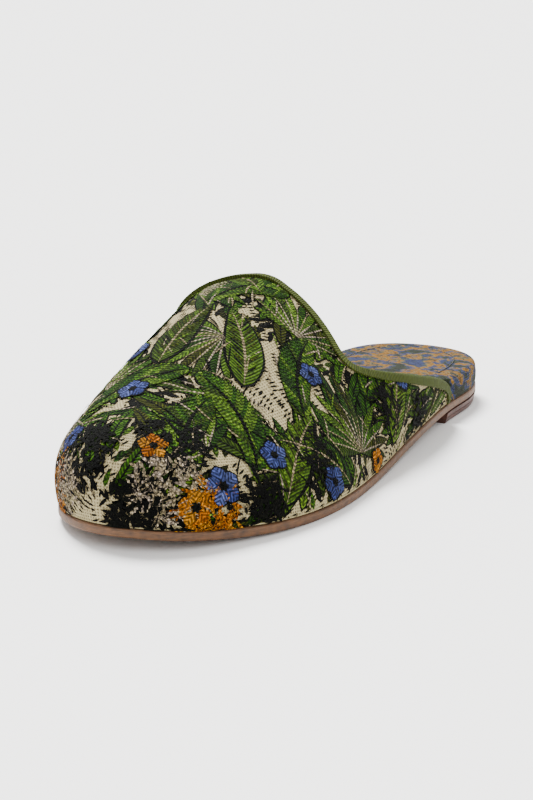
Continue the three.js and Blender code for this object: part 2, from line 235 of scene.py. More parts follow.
def colour_and_bump(tree, colour, height, depth):
    """Gives the shader its colour, and bumps it by a height whose full swing is depth in millimetres."""
    shader = tree.nodes["Principled BSDF"].inputs
    tree.links.new(colour, shader["Base Color"])
    bump = add_node(tree, "Bump", {"Strength": 1.0, "Distance": depth * metre, "Height": height})
    tree.links.new(bump, shader["Normal"])


def in_millimetres(tree):
    """Object coordinates in millimetres."""
    coordinates = add_node(tree, "TexCoord", output="Object")
    return add_node(tree, "VectorMath", {0: coordinates, "Scale": 1 / metre}, operation="SCALE")


def wave(tree, source, pitch):
    """A round wave from 0 to 1 that repeats every pitch millimetres of the source."""
    angle = add_node(tree, "Math", [source, 2 * math.pi / pitch], operation="MULTIPLY")
    swing = add_node(tree, "Math", [angle], operation="SINE")
    return add_node(tree, "Math", [swing, 0.5, 0.5], operation="MULTIPLY_ADD")


# Outsole
# One flat vegetable-tanned leather sole, about 3 mm thick, cut square and burnished along its edge.
def leather(name, light, dark, grain_size, layer_pitch, roughness):
    """Leather seen mostly on its cut edge: mottled, with faint fibre lines along the layers."""
    material, tree = new_material(name, roughness)
    where = in_millimetres(tree)
    mottle = add_node(tree, "TexNoise", {"Vector": where, "Scale": 1 / grain_size, "Detail": 6.0})
    stretched = add_node(tree, "Mapping", {"Vector": where, "Scale": (0.12, 0.12, 1.0)})
    fibres = add_node(tree, "TexNoise", {"Vector": stretched, "Scale": 1 / layer_pitch, "Detail": 3.0})
    both = add_node(tree, "Math", [mottle, fibres], operation="ADD")
    grain = add_node(tree, "Math", [both, 0.5], operation="MULTIPLY")
    tone = add_node(tree, "ValToRGB", [grain], stops=[(0.3, dark), (0.62, light)])
    layers = wave(tree, add_node(tree, "SeparateXYZ", [where], output="Z"), layer_pitch)
    height = add_node(tree, "Math", [layers, 0.35, grain], operation="MULTIPLY_ADD")
    colour_and_bump(tree, tone, height, 0.12)
    return material


# Burnishing leaves the leather dark brown and half matt.
outsole_leather = leather("burnished_sole_leather", "#654120", "#33200f", 2.2, 0.55, 0.6)
sole_rounding = 0.8
rounding_points = 4
sole_sections = 300


def sole_ring(side, turn):
    """One side of a cross-section of the outsole, from its underside up to its top."""
    low, high = sole_under(at_turn(turn)), sole_top(at_turn(turn))
    bends = np.linspace(0, math.pi / 2, rounding_points)
    lower = [(sole_rounding * (1 - math.sin(b)), low + sole_rounding * (1 - math.cos(b))) for b in bends]
    upper = [(sole_rounding * (1 - math.cos(b)), high - sole_rounding * (1 - math.sin(b))) for b in bends]
    return np.stack([[*inset_edge(side, turn, inset), up] for inset, up in lower + upper])


sole_turns = np.linspace(0, math.pi, sole_sections)
sole_rings = np.stack([np.concatenate([sole_ring(1, t), sole_ring(-1, t)[::-1]]) for t in sole_turns])
sole_mesh = ring_solid(place(sole_rings), flat_start=False, flat_end=False)
outsole = make_piece("outsole_leather", *sole_mesh, outsole_leather)
close_solid(outsole)
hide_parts("outsole")

# Heel
# A low block of two lifts of leather, nailed and glued under the back of the sole. Its stain leaves it
# darker, redder and a little glossier than the sole.
heel_leather = leather("stained_heel_leather", "#563023", "#2c1710", 3.0, 0.8, 0.5)
heel_taper = 0.8
heel_sections = 90
lift_groove = 0.25
heel_levels = [
    # up, inset
    (0.0, heel_taper + 0.4),
    (0.35, heel_taper),
    (1.95, heel_taper * 0.55),
    (2.1, heel_taper * 0.55 + lift_groove),
    (2.25, heel_taper * 0.5),
    (heel_height - fit, 0.0),
]


def heel_ring(side, turn):
    """One side of a cross-section of the heel, from the floor up."""
    return np.stack([[*inset_edge(side, turn, inset), up] for up, inset in heel_levels])


heel_turns = np.linspace(0, turn_at(heel_length), heel_sections)
heel_rings = np.stack([np.concatenate([heel_ring(1, t), heel_ring(-1, t)[::-1]]) for t in heel_turns])
heel = make_piece("heel_lifts", *ring_solid(place(heel_rings), flat_start=False), heel_leather)
close_solid(heel, crisp=35)
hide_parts("heel")

# The last
# The foot-shaped surface that the upper is pulled over: ribs from the sole to a ridge along the top.
ridge = {
    "at": [60, 95, 124, 145, 170, 195, 220, 251],
    "across": [-4.5, -7, -11, -12, -11, -9.5, -8, -6],
    "up": [92, 79, 67, 65.5, 58.5, 48.5, 40, 35],
}
lateral_ribs = {
    "rise": [25, 28, 26, 22, 19, 17, 16, 17],
    "lean": [9, 11, 10, 5.5, 4, 3.5, 3.5, 4.5],
    "span": [17, 16, 9, 11, 15, 16.5, 15, 14],
}
medial_ribs = {
    "rise": [26, 34, 38, 40, 35, 31, 25, 17],
    "lean": [6, 14.5, 18.5, 14, 7, 4.5, 5, 4.5],
    "span": [15, 22, 28, 30, 28, 26.5, 21.5, 14],
}
fan_start = 205
ridge_end = 231
fan_end_pace = 0.5
feather_inset = 0.8


def ridge_at(at):
    """Where a section meets the ridge: in front of fan_start the sections fan round the toe."""
    reach = sole_length - fan_start
    u = np.maximum((at - fan_start) / reach, 0)
    start_pace = reach / (ridge_end - fan_start)
    share = (u**3 - 2 * u**2 + u) * start_pace + (3 * u**2 - 2 * u**3) + (u**3 - u**2) * fan_end_pace
    return np.where(at <= fan_start, at, fan_start + (ridge_end - fan_start) * share)


def ridge_slope(at):
    return (from_table(ridge["at"], ridge["up"], at + 1) - from_table(ridge["at"], ridge["up"], at - 1)) / 2


def last_point(side, turn, rib):
    """A point of the last: turn picks the section, and rib runs from 0 at the sole to 1 on the ridge."""
    at = at_turn(turn)
    foot_x, foot_y = inset_edge(side, turn, feather_inset)
    nx, ny = edge_normal(side, turn)
    top = ridge_at(at)
    ridge_x = from_table(ridge["at"], ridge["across"], top)
    ridge_z = from_table(ridge["at"], ridge["up"], top)
    table = lateral_ribs if side > 0 else medial_ribs
    rise, lean, span = (from_table(ridge["at"], table[name], at) for name in ("rise", "lean", "span"))
    away_x, away_y = foot_x - ridge_x, foot_y - top
    size = np.hypot(away_x, away_y)
    ax, ay = away_x / size, away_y / size
    base = sole_top(foot_y) + fit
    controls = [
        (foot_x, foot_y, base),
        (foot_x + nx * lean, foot_y + ny * lean, base + rise),
        (ridge_x + ax * span, top + ay * span, ridge_z + ridge_slope(top) * ay * span),
        (ridge_x, top, ridge_z),
    ]
    weights = [(1 - rib) ** 3, 3 * rib * (1 - rib) ** 2, 3 * rib**2 * (1 - rib), rib**3]
    return np.stack([sum(w * c[axis] for w, c in zip(weights, controls)) for axis in range(3)], -1)


def unit(vectors):
    return vectors / np.linalg.norm(vectors, axis=-1, keepdims=True)


def last_normal(side, turn, rib):
    """Direction out of the last. On the ridge both sides are level across the shoe."""
    ahead = last_point(side, np.minimum(turn + probe, math.pi), rib)
    behind = last_point(side, turn - probe, rib)
    higher = last_point(side, turn, np.minimum(rib + probe, 1))
    lower = last_point(side, turn, np.maximum(rib - probe, 0))
    normal = side * unit(np.cross(ahead - behind, higher - lower))
    slope = ridge_slope(ridge_at(at_turn(turn)))
    level = unit(np.stack([np.zeros_like(slope), -slope, np.ones_like(slope)], -1))
    return np.where((rib >= 1)[..., None], level, normal)


def rib_at_height(side, at, up, halvings=30):
    """The rib value at which the last reaches a height, by halving."""
    turn = turn_at(at)
    low = np.zeros_like(turn)
    high = np.ones_like(turn)
    for _ in range(halvings):
        middle = (low + high) / 2
        below = last_point(side, turn, middle)[..., 2] < up
        low = np.where(below, middle, low)
        high = np.where(below, high, middle)
    return (low + high) / 2


# Upper
# A slipper-like upper of woven cloth over a cotton lining, one wall about 2 mm thick, pulled over the last,
# with a high tongue and a collar that dips to the footbed at both back ends.
topline_rows = {
    1: {
        "at": [129, 128.5, 128.8, 130, 132, 134.8, 136.5, 132, 121.5, 106, 84, 67, 60, 58.6],
        "up": [67, 64.5, 60, 55.5, 50.5, 45, 40, 36.4, 33, 29, 23, 17.5, 13, 9],
    },
    -1: {
        "at": [129, 130.2, 133.8, 138.5, 143, 145.5, 145, 141, 133, 121, 103, 84, 67, 60, 58.6],
        "up": [67, 66.2, 64.8, 62.3, 59, 55, 51, 47.5, 44, 39.5, 34, 27, 20.3, 15, 9],
    },
}
tongue_foot = 166
neck_foot = 146
stray_start = 226
tongue_turn_in = 0.7
vamp_strips = 104
collar_strips = 144
neck_easing = 12
wall_rows = 48


def run_along(line):
    """How far each point of a line lies from its first one, along the line."""
    return np.concatenate([[0], np.cumsum(np.linalg.norm(np.diff(line, axis=0), axis=-1))])


def topline(side, steps, row_steps=60):
    """The upper's open edge as places and ribs, evenly spaced from the tongue's tip to the sole."""
    rows = topline_rows[side]
    order = np.arange(len(rows["at"]))
    fine = np.linspace(0, order[-1], row_steps * order[-1] + 1)
    at = from_table(order, rows["at"], fine)
    rib = rib_at_height(side, at, from_table(order, rows["up"], fine))
    rib[0] = 1
    run = run_along(last_point(side, turn_at(at), rib))
    even = np.linspace(0, run[-1], steps + 1)
    return np.interp(even, run, at), np.interp(even, run, rib)


def side_strips(side):
    """Places and ribs of all strips of one side, from the toe's tip to the back end."""
    feet = at_turn(np.linspace(math.pi, turn_at(tongue_foot), vamp_strips + 1))
    stray = np.clip((stray_start - feet) / (stray_start - tongue_foot), 0, 1)
    on_ridge = feet - (tongue_foot - topline_rows[1]["at"][0]) * stray**2
    edge_at, edge_rib = topline(side, collar_strips)
    neck = int(np.argmax(edge_at))
    order = np.arange(collar_strips + 1)
    towards_neck = mix(tongue_foot, neck_foot, order / neck)
    past_neck = mix(neck_foot, edge_at[-1], (order - neck) / (collar_strips - neck))
    collar_feet = np.where(order < neck, towards_neck, past_neck)
    turn_in = tongue_turn_in * np.clip((neck + neck_easing - order) / (2 * neck_easing), 0, 1)
    foot = np.concatenate([feet, collar_feet[1:]])[:, None]
    target_at = np.concatenate([on_ridge, edge_at[1:]])[:, None]
    target_rib = np.concatenate([np.ones_like(feet), edge_rib[1:]])[:, None]
    bow = np.concatenate([tongue_turn_in * stray, turn_in[1:]])[:, None]
    q = np.linspace(0, 1, wall_rows + 1)[None, :]
    return mix(foot, target_at, q**2), target_rib * (q + bow * q * (1 - q))


# Soft creases of the cloth, from one place on the wall to another: troughs where the foot bends the vamp and
# where the collar is drawn in, and low ridges between them.
crease_rows = [
    # side, at, rib, to at, to rib, width, depth
    (1, 188, 0.30, 183, 0.80, 5.0, 0.55),
    (1, 178, 0.34, 176, 0.74, 4.5, -0.35),
    (1, 168, 0.28, 170, 0.70, 5.0, 0.50),
    (-1, 186, 0.25, 184, 0.60, 5.5, 0.35),
    (-1, 172, 0.25, 172, 0.55, 5.0, 0.30),
    (1, 150, 0.10, 143, 0.48, 4.5, 0.60),
    (1, 128, 0.15, 131, 0.42, 6.0, -0.45),
    (1, 92, 0.12, 98, 0.40, 7.0, 0.45),
    (-1, 120, 0.15, 126, 0.45, 6.0, 0.50),
    (-1, 92, 0.12, 96, 0.38, 7.0, 0.45),
    (1, 214, 0.55, 222, 0.22, 5.0, 0.30),
    (-1, 216, 0.60, 226, 0.25, 5.0, 0.30),
]


def creased(points, normals, steps=24):
    """Points of the wall moved along its normals by the creases, which fade out towards both ends."""
    share = np.linspace(0, 1, steps)
    fade = np.sin(math.pi * np.linspace(0.04, 0.96, steps)) ** 0.7
    shift = np.zeros(points.shape[:-1])
    for side, at, rib, to_at, to_rib, width, depth in crease_rows:
        line = last_point(side, turn_at(mix(at, to_at, share)), mix(rib, to_rib, share))
        distance = np.linalg.norm(points[..., None, :] - line, axis=-1)
        nearest = distance.min(-1)
        shift -= depth * fade[distance.argmin(-1)] * np.exp(-((nearest / width) ** 2))
    return points + normals * shift[..., None]


def wall_grids():
    """Outer and inner points of the whole wall, strip by strip from the lateral back end round the toe."""
    outer, inner = [], []
    for side in (1, -1):
        at, rib = side_strips(side)
        turn = turn_at(at)
        points = last_point(side, turn, rib)
        normals = last_normal(side, turn, rib)
        out = creased(points, normals)
        inside = out - normals * wall_thick
        inside[:, 0, 2] = sole_top(inside[:, 0, 1]) + fit
        outer.append(out)
        inner.append(inside)
    return [np.concatenate([lateral[::-1], medial[1:]]) for lateral, medial in (outer, inner)]


wall_outer, wall_inner = wall_grids()
strips, rows = wall_outer.shape[:2]


def weave(tree, coordinates, pitch):
    """Height of a plain weave: warp and weft threads that pass over each other in turn."""
    warp = wave(tree, add_node(tree, "SeparateXYZ", [coordinates], output="X"), pitch)
    weft = wave(tree, add_node(tree, "SeparateXYZ", [coordinates], output="Y"), pitch)
    return add_node(tree, "Math", [warp, weft], operation="MAXIMUM")


def thread_coordinates(tree):
    """The thread layer's coordinates in millimetres."""
    layer = add_node(tree, "UVMap", uv_map="thread")
    return add_node(tree, "VectorMath", {0: layer, "Scale": thread_unit}, operation="SCALE")


# Undyed plain-woven cloth, matt, flecked and a little stained. Its threads are drawn 1.1 mm apart, about
# twice as coarse as they are, so that they show. Its colour is darker between the threads: painted shade.
ground_pitch = 1.1
ground_cloth, tree = new_material("woven_ground_cloth", 0.9, specular=0.2)
where = thread_coordinates(tree)
ground_height = weave(tree, where, ground_pitch)
stain = add_node(tree, "TexNoise", {"Vector": where, "Scale": 0.14, "Detail": 4.0})
stained = add_node(tree, "Math", [stain, 0.2], operation="MULTIPLY")
fleck = add_node(tree, "TexNoise", {"Vector": where, "Scale": 1.3, "Detail": 2.0})
# The weave's height, mixed into the colour with the flecks, paints shade between the threads.
flecked = add_node(tree, "Math", [ground_height, 0.55, fleck], operation="MULTIPLY_ADD")
flecks_and_thread_shade = add_node(tree, "Math", [flecked, 0.5, stained], operation="MULTIPLY_ADD")
cloth_tones = [(0.28, "#2d2619"), (0.42, "#75694a"), (0.62, "#a19670"), (0.8, "#afa582")]
colour_and_bump(tree, add_node(tree, "ValToRGB", [flecks_and_thread_shade], stops=cloth_tones), ground_height, 0.25)

# Cotton twill, matt, with faint slanting lines that are drawn 0.9 mm apart, about twice as far as real ones.
# The lines are painted shade, darker in the twill's grooves.
lining_pitch = 0.9
lining_cloth, tree = new_material("cotton_twill_lining", 0.92)
where = thread_coordinates(tree)
along = add_node(tree, "SeparateXYZ", [where], output="X")
upwards = add_node(tree, "SeparateXYZ", [where], output="Y")
twill = wave(tree, add_node(tree, "Math", [along, upwards], operation="ADD"), lining_pitch)
lining_tones = [(0.0, "#7d7052"), (1.0, "#9f9371")]
# The twill's height sets the colour as well as the bump: painted shade in the grooves.
colour_and_bump(tree, add_node(tree, "ValToRGB", [twill], stops=lining_tones), twill, 0.15)

foot_run = run_along(wall_outer[:, 0])
climb = np.stack([run_along(strip) for strip in wall_outer])
wall_thread = np.stack([np.broadcast_to(foot_run[:, None], climb.shape), climb], -1).reshape(-1, 2)
layer_size = strips * rows
outer_faces = grid_faces(strips, rows)
inner_faces = [face[::-1] for face in grid_faces(strips, rows, first=layer_size)]

# Lines of points along which cloth and lining meet: the sole, both halves of the open edge, both back ends
numbers = np.arange(layer_size).reshape(strips, rows)
rims = [
    numbers[::-1, 0],
    numbers[: collar_strips + 1, -1],
    numbers[-collar_strips - 1 :, -1],
    numbers[0],
    numbers[-1, ::-1],
]
rim_faces = [[a, b, b + layer_size, a + layer_size] for line in rims for a, b in zip(line, line[1:])]
upper = make_piece(
    "upper_cloth",
    place(np.concatenate([wall_outer.reshape(-1, 3), wall_inner.reshape(-1, 3)])),
    outer_faces + inner_faces + rim_faces,
    ground_cloth,
    thread=np.concatenate([wall_thread, wall_thread]),
)
upper.data.materials.append(lining_cloth)
for polygon in upper.data.polygons[len(outer_faces) : len(outer_faces) + len(inner_faces)]:
    polygon.material_index = 1
close_solid(upper)
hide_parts("upper")

# Needlework
# Machine embroidery covers the cloth: leaves, palm fans, fronds and small flowers in satin stitch, with dark
# outlines and loose pale strokes. Every motif is a thin mesh of its own that follows the cloth.
ground_points = place(wall_outer.reshape(-1, 3))
ground = BVHTree.FromPolygons([Vector(p) for p in ground_points], outer_faces)
away_from_foot = 1 if ground.find_nearest(Vector((0, -60, 200)))[1].z > 0 else -1
face_corners = ground_points[np.array(outer_faces)]
face_middles = face_corners.mean(axis=1)
face_diagonals = face_corners[:, 2:] - face_corners[:, :2]
face_sizes = np.linalg.norm(np.cross(face_diagonals[:, 0], face_diagonals[:, 1]), axis=-1)
face_shares = face_sizes / face_sizes.sum()
towards_toe = Vector((0, -1, 0))
tip_reach = 0.04
outline_depth = 0.06
outline_dome = 0.02
tries = 20
far_away = 1e6
chance = np.random.default_rng(11)

green_tones = ["#4a7814", "#35600f", "#5f8420", "#2a4e0d", "#749a28", "#435c14"]
olive_tones = ["#4b520f", "#3a400a", "#60671c", "#2d3107"]
dark_tones = ["#0d0d07", "#080806", "#12140a", "#070706"]
pale_tones = ["#d3c19c", "#c4b088", "#d9c4ac"]
blue_tones = ["#5260a4", "#434f92", "#6472b4"]
orange_tones = ["#dc860c", "#c87006", "#e89a20"]


class Threadwork:
    """Gathers motifs that become one mesh, with thread coordinates and colours at every point."""

    def __init__(self):
        self.points = []
        self.faces = []
        self.thread = []
        self.tints = []

    def add(self, grid, thread, tint):
        self.faces += grid_faces(len(grid), len(grid[0]), first=len(self.points))
        for line, line_thread in zip(grid, thread):
            self.points += [tuple(point) for point in line]
            self.thread += line_thread
            self.tints += [tint] * len(line)


def on_cloth(point):
    """The nearest place on the cloth, and the direction out of it."""
    spot, normal = ground.find_nearest(point)[:2]
    return spot, normal * away_from_foot


def spot_on(side, at, rib):
    """A place on the wall, from its side, its distance from the heel and its rib."""
    return Vector(place(last_point(side, turn_at(np.array(float(at))), np.array(float(rib)))))


def heading_on(normal, degrees):
    """A direction in the cloth: 0 is towards the toe, 90 is up the outer side and over the ridge."""
    forward = (towards_toe - normal * towards_toe.dot(normal)).normalized()
    over = forward.cross(normal)
    angle = math.radians(degrees)
    return forward * math.cos(angle) + over * math.sin(angle)


def heading_of(direction, normal):
    """The degrees that heading_on takes for a direction in the cloth."""
    forward = heading_on(normal, 0)
    return math.degrees(math.atan2(direction.dot(forward.cross(normal)), direction.dot(forward)))


def walk(start, degrees, length, bend, steps):
    """A line over the cloth from start, which turns by bend degrees on its way."""
    point, normal = on_cloth(start)
    direction = heading_on(normal, degrees)
    turn = math.radians(bend / steps)
    path = []
    for _ in range(steps + 1):
        beside = direction.cross(normal).normalized()
        path.append((point.copy(), beside, direction.copy(), normal.copy()))
        direction = (direction * math.cos(turn) + beside * math.sin(turn)).normalized()
        point, normal = on_cloth(point + direction * (length / steps))
        direction = (direction - normal * direction.dot(normal)).normalized()
    return path


def half_width(width, share, belly=0.8):
    """Half the width of a leaf at a share of its length: pointed ends, and widest where belly puts it."""
    return width / 2 * math.sin(math.pi * share**belly) ** 0.8


def leaf(work, start, degrees, length, width, tone, bend=0, height=0.2, belly=0.8, steps=9, half=2, dome=0.1):
    """One leaf in satin stitch, which lies height over the cloth and swells by dome along its middle."""
    path = walk(start, degrees, length, bend, steps)
    offset = chance.uniform(0, 90)
    grid, thread = [], []
    for k, (point, beside, _, _) in enumerate(path):
        share = k / steps
        reach = half_width(width, share, belly) + tip_reach
        line, line_thread = [], []
        for j in range(-half, half + 1):
            across = j / half
            spot, out = on_cloth(point + beside * (reach * across))
            line.append(spot + out * (height + dome * (1 - across * across)))
            line_thread.append((offset + share * length, reach * across))
        grid.append(line)
        thread.append(line_thread)
    work.add(grid, thread, linear(tone))
    return path


def pick(tones):
    return tones[int(chance.integers(len(tones)))]


def outlined(work, start, degrees, length, width, tone, height, line, **shape):
    """A leaf on a dark and flatter one that is larger by line all round, and shows as its outline."""
    back = start - heading_on(on_cloth(start)[1], degrees) * line
    dark = pick(dark_tones)
    under = shape | {"height": height - outline_depth, "dome": outline_dome}
    leaf(work, back, degrees, length + 2 * line, width + 2 * line, dark, **under)
    return leaf(work, start, degrees, length, width, tone, height=height, **shape)


def stroke(work, start, degrees, length, width, tone, bend=0, height=0.3, steps=6):
    """One thin line of running thread."""
    leaf(work, start, degrees, length, width, tone, bend=bend, height=height, belly=1.0, steps=steps, half=1)


def scatter(count, spacing):
    """Random places, equally likely all over the cloth, that keep their distance from each other."""
    found = np.full((count, 3), far_away)
    kept = 0
    for candidate in face_middles[chance.choice(len(face_middles), count * tries, p=face_shares)]:
        if np.linalg.norm(found - candidate, axis=1).min() > spacing:
            found[kept] = candidate
            kept += 1
        if kept == count:
            break
    return [Vector(point) for point in found[:kept]]


def drift(point):
    """The way the foliage leans at a place: sweeping back and up in slow waves."""
    return 128 + 42 * math.sin(point.y * 0.042 + point.z * 0.05) + 20 * math.sin(point.y * 0.11 + 1.3)


def is_bare(point):
    """Whether the cloth is left bare here, in patches all over but at the very toe."""
    return math.sin(point.y * 0.075 - 0.8) * math.sin(point.z * 0.16 + point.x * 0.07 + 0.4) > 0.24


# Undergrowth: short dark and olive leaves that fill the spaces between the larger motifs
undergrowth = Threadwork()
for point in scatter(1700, 2.9):
    if is_bare(point):
        continue
    lean = drift(point) + chance.uniform(-50, 50)
    tone = pick(dark_tones) if chance.uniform() < 0.6 else pick(olive_tones + green_tones)
    size = chance.uniform(5.0, 9.0)
    low = {"height": 0.06 + 0.04 * chance.uniform(), "dome": 0.05}
    leaf(undergrowth, point, lean, size, size * 0.32, tone, bend=25, steps=5, half=1, **low)

# Long leaves: slender blades that sweep over the vamp and along the sides. From here on, most motifs lie a
# little higher over the cloth than the last one, and what lies on a leaf lies on_top higher than the leaf.
long_leaves = Threadwork()
layer = 0.16
on_top = 0.08
for point in scatter(160, 9.0):
    if is_bare(point):
        continue
    lean = drift(point) + chance.uniform(-22, 22)
    length = chance.uniform(20, 36)
    width = chance.uniform(3.0, 5.4)
    bend = chance.uniform(-45, 45)
    tone = pick(green_tones + olive_tones[:1])
    layer += 0.001
    outlined(long_leaves, point, lean, length, width, tone, bend=bend, height=layer, line=0.8, steps=14)
    vein = pick(dark_tones + pale_tones[:1])
    stroke(long_leaves, point, lean, length * 0.96, 0.7, vein, bend=bend, height=layer + on_top, steps=14)

# Palm fans: leaflets that spread from one point, each with its own outline
fan_rows = [
    # side, at, rib, heading, reach, opening, leaflets
    (1, 84, 0.16, 100, 17, 130, 9),
    (1, 118, 0.12, 70, 24, 150, 12),
    (1, 158, 0.16, 105, 27, 170, 13),
    (1, 196, 0.20, 60, 25, 160, 12),
    (1, 150, 0.62, 160, 24, 150, 12),
    (1, 176, 0.86, 20, 26, 160, 13),
    (1, 226, 0.50, 80, 22, 160, 11),
    (-1, 206, 0.62, 240, 24, 160, 12),
    (-1, 150, 0.80, 250, 24, 160, 12),
    (-1, 170, 0.28, 270, 24, 160, 12),
    (-1, 116, 0.22, 250, 22, 150, 11),
    (-1, 84, 0.18, 260, 17, 130, 9),
    (-1, 232, 0.35, 270, 20, 150, 10),
]
palm_fans = Threadwork()
for side, at, rib, heading, reach, opening, leaflets in fan_rows:
    start = spot_on(side, at, rib)
    for k in range(leaflets):
        share = k / (leaflets - 1) - 0.5
        ray = heading + opening * share
        length = reach * (1 - 0.9 * share * share)
        layer += 0.001
        shape = {"bend": 24 * share, "height": layer, "line": 0.6, "belly": 1.15, "steps": 11}
        outlined(palm_fans, start, ray, length, reach * 0.12, pick(green_tones + olive_tones[:1]), **shape)
    for k in range(leaflets - 1):
        ray = heading + opening * ((k + 0.5) / (leaflets - 1) - 0.5)
        length = reach * chance.uniform(0.5, 0.85)
        stroke(palm_fans, start, ray, length, 0.6, pick(pale_tones), height=layer + on_top)

# Fronds: a curved stem with pairs of narrow leaflets
frond_rows = [
    # side, at, rib, heading, length, bend
    (1, 106, 0.20, 40, 40, 40),
    (1, 140, 0.30, 150, 34, -50),
    (1, 180, 0.40, 120, 42, 45),
    (1, 214, 0.30, 130, 44, -40),
    (1, 240, 0.45, 140, 36, 30),
    (-1, 130, 0.30, 300, 38, 40),
    (-1, 186, 0.40, 230, 40, -40),
    (-1, 160, 0.90, 200, 34, 35),
    (-1, 222, 0.55, 220, 38, 35),
]
fronds = Threadwork()
stem_steps = 22
leaflet_turn = 52
for side, at, rib, heading, length, bend in frond_rows:
    start = spot_on(side, at, rib)
    stem = walk(start, heading, length, bend, stem_steps)
    for k, (point, _, direction, normal) in enumerate(stem[1:], 1):
        lean = heading_of(direction, normal)
        size = 10.5 * math.sin(math.pi * (0.18 + 0.8 * k / stem_steps)) + 1.5
        layer += 0.0005
        for turn in (-leaflet_turn, leaflet_turn):
            shape = {"bend": -turn * 0.5, "height": layer, "line": 0.5, "steps": 5, "half": 1}
            outlined(fronds, point, lean + turn, size, 2.0, pick(green_tones), **shape)
    stroke(fronds, start, heading, length, 1.1, pick(dark_tones), bend, layer + 0.1, stem_steps)

# Banana leaves: broad blades with a pale rib and veins in two greens
banana_rows = [
    # side, at, rib, heading, length, width, bend
    (1, 130, 0.08, 118, 40, 13, 25),
    (1, 172, 0.06, 60, 38, 12, -30),
    (1, 208, 0.10, 125, 40, 13, 30),
    (1, 190, 0.66, 150, 40, 13, -25),
    (-1, 196, 0.90, 170, 38, 13, 28),
    (-1, 142, 0.20, 240, 38, 12, 25),
    (-1, 200, 0.16, 235, 38, 12, -25),
    (1, 144, 0.86, 120, 30, 11, 20),
]
banana_leaves = Threadwork()
blade_steps = 18
vein_turn = 50
for side, at, rib, heading, length, width, bend in banana_rows:
    start = spot_on(side, at, rib)
    layer += 0.01
    shape = {"bend": bend, "height": layer, "line": 1.0, "steps": blade_steps, "half": 4}
    path = outlined(banana_leaves, start, heading, length, width, pick(green_tones), **shape)
    for k in range(2, blade_steps - 1):
        point, _, direction, normal = path[k]
        lean = heading_of(direction, normal)
        reach = 1.2 * half_width(width, k / blade_steps)
        for turn in (-vein_turn, vein_turn):
            tone = pick(dark_tones[:1] + olive_tones[:2] + green_tones[4:5])
            stroke(banana_leaves, point, lean + turn, reach, 0.8, tone, -turn * 0.3, layer + on_top)
    rib_tone = pick(pale_tones)
    stroke(banana_leaves, start, heading, length * 0.95, 0.9, rib_tone, bend, layer + 0.12, blade_steps)

# Flowers: five round petals in blue thread, a few in orange, with a dark eye
flower_rows = [
    # side, at, rib, radius, blue
    (1, 228, 0.28, 6.6, True),
    (1, 203, 0.36, 5.4, True),
    (1, 182, 0.12, 6.0, True),
    (1, 160, 0.50, 5.0, True),
    (1, 110, 0.34, 5.0, True),
    (1, 244, 0.62, 5.2, False),
    (1, 238, 0.16, 6.2, False),
    (1, 146, 0.07, 4.6, False),
    (-1, 212, 0.86, 5.6, True),
    (-1, 236, 0.50, 5.4, True),
    (-1, 184, 0.66, 5.4, True),
    (-1, 150, 0.40, 5.4, True),
    (-1, 104, 0.30, 5.0, True),
    (-1, 190, 0.10, 5.0, False),
    (-1, 128, 0.10, 5.0, False),
]
flowers = Threadwork()
petals = 5
eye_stitches = 6
layer += 0.06
for side, at, rib, radius, is_blue in flower_rows:
    centre = spot_on(side, at, rib)
    tones = blue_tones if is_blue else orange_tones
    first = chance.uniform(0, 360 / petals)
    for k in range(petals):
        shape = {"height": layer + 0.01 * k, "line": 0.6, "belly": 1.5, "steps": 7}
        outlined(flowers, centre, first + 360 / petals * k, radius, radius * 0.82, pick(tones), **shape)
    for k in range(eye_stitches):
        turn = first + 360 / eye_stitches * k
        stroke(flowers, centre, turn, radius * 0.3, 1.2, pick(dark_tones), height=layer + 0.14)

# Tufts: patches of moss and lichen near the sole, of short stitches that lie every way
tuft_rows = [
    # side, at, rib, radius, stitches, tones
    (1, 243, 0.30, 13, 210, pale_tones),
    (-1, 246, 0.50, 13, 200, dark_tones),
    (1, 249, 0.16, 10, 150, dark_tones),
    (1, 234, 0.10, 11, 170, orange_tones),
    (-1, 238, 0.14, 10, 120, orange_tones),
    (1, 216, 0.16, 9, 100, dark_tones),
    (1, 236, 0.62, 11, 150, dark_tones),
    (-1, 244, 0.20, 9, 110, pale_tones),
    (-1, 226, 0.26, 9, 80, pale_tones),
    (1, 186, 0.26, 8, 70, dark_tones),
    (1, 128, 0.24, 8, 70, dark_tones),
    (-1, 180, 0.46, 9, 80, dark_tones),
    (-1, 134, 0.16, 8, 70, pale_tones),
    (1, 100, 0.10, 7, 60, dark_tones),
]
tufts = Threadwork()
for side, at, rib, radius, stitches, tones in tuft_rows:
    middle = spot_on(side, at, rib)
    for _ in range(stitches):
        heading = chance.uniform(0, 360)
        away = heading_on(on_cloth(middle)[1], heading) * (radius * math.sqrt(chance.uniform()))
        layer += 0.00001
        tone = pick(tones if chance.uniform() < 0.8 else dark_tones)
        lean = chance.uniform(0, 360)
        length = chance.uniform(2.5, 5.5)
        stroke(tufts, middle + away, lean, length, 1.1, tone, height=layer, steps=4)

# Strokes: short black hatching on the bare cloth and loose pale lines over the leaves
strokes = Threadwork()
hatch_lines = 4
hatch_spacing = 1.6
for point in scatter(600, 4.2):
    lean = drift(point) + 60
    beside = heading_on(on_cloth(point)[1], lean + 90)
    for k in range(hatch_lines):
        start = point + beside * (hatch_spacing * k)
        stroke(strokes, start, lean, chance.uniform(2.0, 3.4), 0.75, pick(dark_tones), height=0.05, steps=3)
for point in scatter(220, 6.2):
    lean = drift(point) + chance.uniform(-40, 40)
    length = chance.uniform(5, 11)
    tone = pick(pale_tones + green_tones[4:5] + dark_tones[:2])
    stroke(strokes, point, lean, length, 0.6, tone, bend=chance.uniform(-30, 30), height=layer - 0.04)
